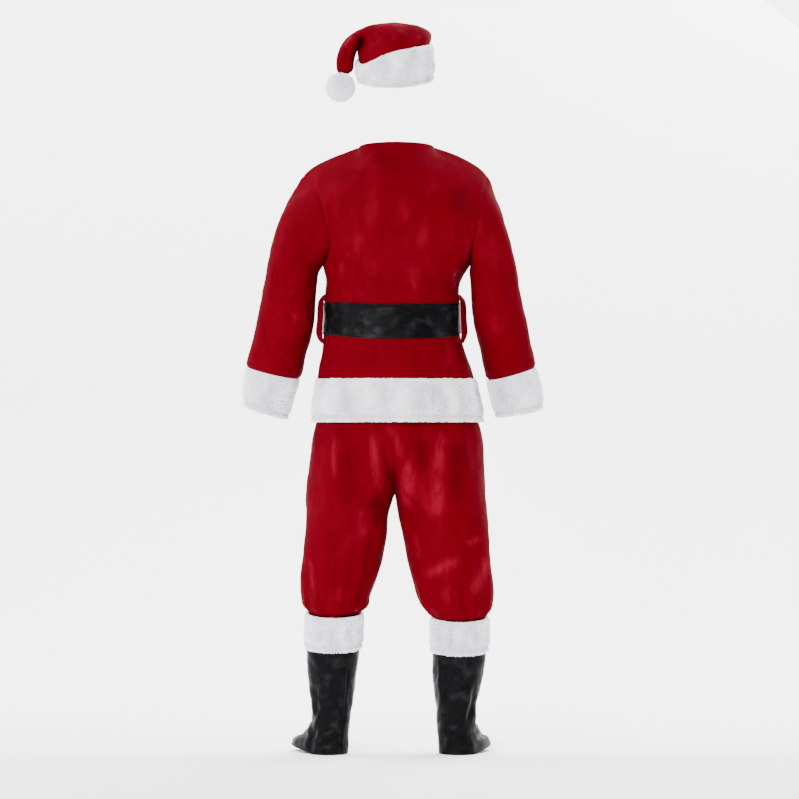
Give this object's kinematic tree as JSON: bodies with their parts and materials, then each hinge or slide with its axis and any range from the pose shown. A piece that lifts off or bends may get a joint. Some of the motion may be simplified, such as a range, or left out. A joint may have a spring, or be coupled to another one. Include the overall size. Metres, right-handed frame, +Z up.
{
  "type": "santa suit",
  "caption": "Santa suit worn by a standing figure: red velour hat, belted jacket and trousers with white plush trim, black belt and boot covers.",
  "frame": {"origin": "on the suit's centre line at shoulder height, where it is held while worn", "axes": "+Z up, -Y to the wearer's front, +X to the wearer's left"},
  "size_m": [0.746, 0.3166, 1.7883],
  "materials": {
    "velour": "short velour pile, dull red with a soft sheen",
    "plush": "thick white plush",
    "faux_leather": "creased black faux leather, semi-gloss",
    "buckle_metal": "satin"
  },
  "bodies": {
    "root": {"jacket_back": "velour", "jacket_front_left": "velour", "jacket_front_right": "velour", "hem_trim_back": "plush", "hem_trim_front_left": "plush", "hem_trim_front_right": "plush", "sleeve_left": "velour", "sleeve_right": "velour", "cuff_left": "plush", "cuff_right": "plush", "belt_strap": "faux_leather", "belt_buckle": "buckle_metal", "belt_prong": "buckle_metal", "belt_loop_left": "velour", "belt_loop_right": "velour", "trouser_back_left": "velour", "trouser_back_right": "velour", "trouser_front_left": "velour", "trouser_front_right": "velour", "boot_cover_outer_left": "faux_leather", "boot_cover_inner_left": "faux_leather", "boot_cover_outer_right": "faux_leather", "boot_cover_inner_right": "faux_leather", "boot_top_left": "plush", "boot_top_right": "plush", "hat_cone_back": "velour", "hat_cone_front": "velour", "hat_band": "plush", "hat_pompom": "plush"}
  },
  "joints": []
}
